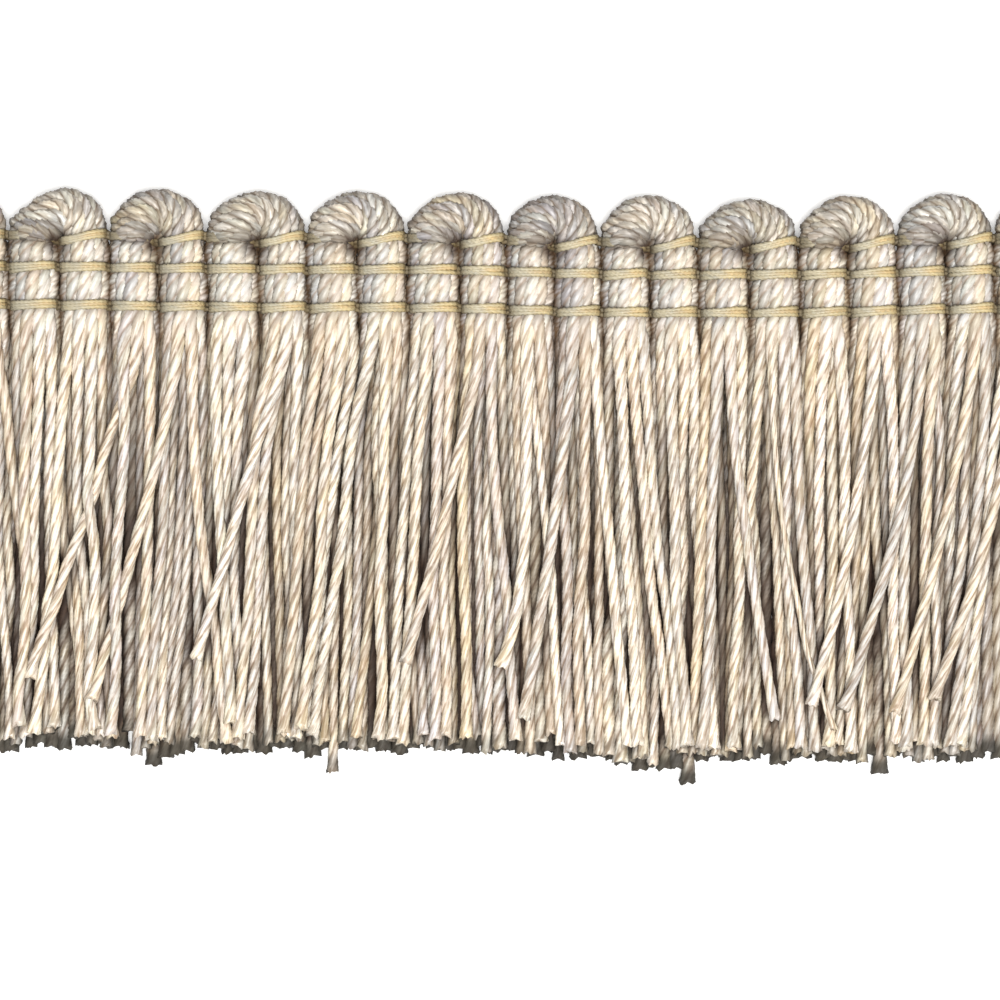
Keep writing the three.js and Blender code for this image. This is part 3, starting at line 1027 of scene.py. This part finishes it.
class Shading:
    """A material's nodes, made one from another. A value is three numbers or a node's output."""

    def __init__(self, name):
        self.material = bpy.data.materials.new(name)
        self.material.use_nodes = True
        self.shader = self.material.node_tree.nodes["Principled BSDF"]

    def node(self, kind):
        """A new node of a kind."""
        return self.material.node_tree.nodes.new(kind)

    def link(self, output, socket):
        """Links an output to a socket."""
        self.material.node_tree.links.new(output, socket)

    def give(self, value, socket):
        """Sets a socket to three numbers, or links an output to it."""
        if isinstance(value, tuple):
            socket.default_value = value if socket.type == "VECTOR" else (*value, 1)
        else:
            self.link(value, socket)

    def attribute(self, name, output):
        """One of the mesh's attributes."""
        node = self.node("ShaderNodeAttribute")
        node.attribute_name = name
        return node.outputs[output]

    def noise(self, vector, scale, detail):
        """A noise over a vector."""
        node = self.node("ShaderNodeTexNoise")
        node.inputs["Scale"].default_value = scale
        node.inputs["Detail"].default_value = detail
        self.link(vector, node.inputs["Vector"])
        return node.outputs["Fac"]

    def product(self, value, factor):
        """A vector or a colour times another."""
        node = self.node("ShaderNodeVectorMath")
        node.operation = "MULTIPLY"
        self.give(value, node.inputs[0])
        self.give(factor, node.inputs[1])
        return node.outputs["Vector"]

    def span(self, value, source, target=(0, 1)):
        """A value moved from one span to another, and held within it."""
        node = self.node("ShaderNodeMapRange")
        node.inputs["From Min"].default_value, node.inputs["From Max"].default_value = source
        node.inputs["To Min"].default_value, node.inputs["To Max"].default_value = target
        self.link(value, node.inputs["Value"])
        return node.outputs["Result"]

    def mix(self, amount, low, high):
        """A colour that goes from low to high as the amount goes from 0 to 1."""
        node = self.node("ShaderNodeMix")
        node.data_type = "RGBA"
        self.link(amount, node.inputs[0])
        for socket, colour in zip((s for s in node.inputs if s.type == "RGBA"), (low, high)):
            self.give(colour, socket)
        return next(s for s in node.outputs if s.type == "RGBA")


def fibre_material(name, roughness):
    """Shiny fibres: the ply's tint, streaked along its length, with fine grooves. They are the
    duller the darker their tint is."""
    shading = Shading(name)
    tint = shading.attribute("tint", "Color")
    fibre = shading.attribute("fibre", "Vector")
    strength = shading.attribute("streak", "Fac")
    streaks = shading.noise(shading.product(fibre, STREAK_STRETCH), 2.0, 2.0)
    streaked = shading.mix(shading.span(streaks, (0.36, 0.6)), DARK_STREAK, LIGHT_STREAK)
    casts = shading.noise(fibre, 0.35, 1.0)
    cast = shading.mix(shading.span(casts, (0.35, 0.65)), COOL_CAST, WARM_CAST)
    colour = shading.product(tint, shading.mix(strength, (1.0, 1.0, 1.0), streaked))
    shading.link(shading.product(colour, cast), shading.shader.inputs["Base Color"])
    dulled = shading.span(tint, (0.1, 0.4), (0.8, roughness))
    shading.link(dulled, shading.shader.inputs["Roughness"])
    grooves = shading.node("ShaderNodeBump")
    grooves.inputs["Strength"].default_value = 0.4
    grooves.inputs["Distance"].default_value = GROOVE_DEPTH * MM
    shading.link(streaks, grooves.inputs["Height"])
    shading.link(grooves.outputs["Normal"], shading.shader.inputs["Normal"])
    shading.shader.inputs["Specular IOR Level"].default_value = 0.7
    return shading.material


def add_camera():
    """Straight above the trim, far enough off that it hardly foreshortens."""
    data = bpy.data.cameras.new("camera")
    data.lens = 150
    data.sensor_width = 36
    data.clip_end = 10
    camera = bpy.data.objects.new("camera", data)
    bpy.context.scene.collection.objects.link(camera)
    middle_y = ORIGIN[1] + (BOTTOM_ROW_PIXEL - PHOTO_MIDDLE) / PIXELS_PER_MM
    height = MIDDLE + SHOWN_WIDTH * data.lens / data.sensor_width
    camera.location = Vector((ORIGIN[0] + CAMERA_SHIFT, middle_y, height)) * MM
    bpy.context.scene.camera = camera


def add_light(name, size, power, place, colour):
    """A round soft light that shines on the middle of the trim."""
    data = bpy.data.lights.new(name, "AREA")
    data.shape = "DISK"
    data.size = size
    data.energy = power
    data.color = colour
    light = bpy.data.objects.new(name, data)
    bpy.context.scene.collection.objects.link(light)
    light.location = place
    light.rotation_euler = (-Vector(place)).to_track_quat("-Z", "Y").to_euler()


def add_floor():
    """A white floor, lit up a little so that the trim's shadows on it stay faint."""
    mesh = bpy.data.meshes.new("floor")
    far = 2.0
    corners = [(-far, -far, 0), (far, -far, 0), (far, far, 0), (-far, far, 0)]
    mesh.from_pydata(corners, [], [(0, 1, 2, 3)])
    floor = bpy.data.objects.new("floor", mesh)
    bpy.context.scene.collection.objects.link(floor)
    material = bpy.data.materials.new("floor")
    material.use_nodes = True
    shader = material.node_tree.nodes["Principled BSDF"]
    shader.inputs["Base Color"].default_value = (0.9, 0.9, 0.9, 1)
    shader.inputs["Roughness"].default_value = 0.9
    shader.inputs["Emission Color"].default_value = (1, 1, 1, 1)
    shader.inputs["Emission Strength"].default_value = 0.2
    mesh.materials.append(material)


def add_world():
    """Even white light from all around."""
    world = bpy.data.worlds.new("world")
    bpy.context.scene.world = world
    world.use_nodes = True
    background = world.node_tree.nodes["Background"]
    background.inputs["Color"].default_value = (1, 1, 1, 1)
    background.inputs["Strength"].default_value = 0.45


YARN_MATERIAL = fibre_material("yarn", 0.4)
THREAD_MATERIAL = fibre_material("thread", 0.5)

add_camera()
add_world()
add_floor()
# A light's size and place are in metres, and its power is in watts
add_light("key", 0.45, 7.0, (0.03, -0.14, 0.75), (1.0, 0.99, 0.96))
add_light("warm", 0.4, 1.2, (0.6, -0.15, 0.5), (1.0, 0.97, 0.92))
bpy.context.scene.view_settings.view_transform = "Standard"

build_loops()
build_bindings()

bpy.context.view_layer.update()
